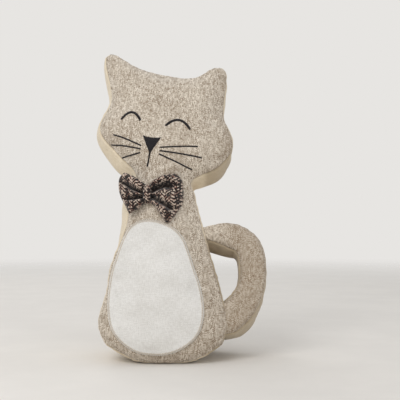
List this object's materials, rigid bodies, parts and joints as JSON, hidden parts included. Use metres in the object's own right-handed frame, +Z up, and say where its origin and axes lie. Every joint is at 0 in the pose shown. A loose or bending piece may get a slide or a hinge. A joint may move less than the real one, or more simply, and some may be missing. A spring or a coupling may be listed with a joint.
{
  "type": "weighted fabric door stop",
  "caption": "Stuffed cloth door stop in the outline of a sitting cat, with a sealed weighted base, gusseted sides, a stuffed tail and a bow tie. Its weight holds a door open.",
  "frame": {"origin": "middle of the flat of the base that rests on the floor", "axes": "+X to the right of someone facing the front, +Y from the front towards the back, +Z up; the front panel faces -Y and leans back 12 degrees"},
  "size_m": [0.2033, 0.1368, 0.3536],
  "materials": {
    "tweed": "coarse beige and grey tweed weave, matt",
    "gusset_cotton": "plain cream cotton, matt",
    "patch_cotton": "off-white cotton with a stitched edge, matt",
    "bow_tweed": "dark brown, beige and black flecked tweed, matt",
    "black_thread": "black satin stitch, slight sheen"
  },
  "bodies": {
    "root": {"body_gusset": "gusset_cotton", "front_panel": "tweed", "back_panel": "tweed", "belly_patch": "patch_cotton", "tail_gusset": "gusset_cotton", "tail_front_panel": "tweed", "tail_back_panel": "tweed", "eye_left": "black_thread", "eye_right": "black_thread", "nose": "black_thread", "mouth": "black_thread", "whisker_left_1": "black_thread", "whisker_left_2": "black_thread", "whisker_left_3": "black_thread", "whisker_right_1": "black_thread", "whisker_right_2": "black_thread", "whisker_right_3": "black_thread", "bow_knot": "bow_tweed", "bow_left_wing": "bow_tweed", "bow_right_wing": "bow_tweed"}
  },
  "joints": []
}
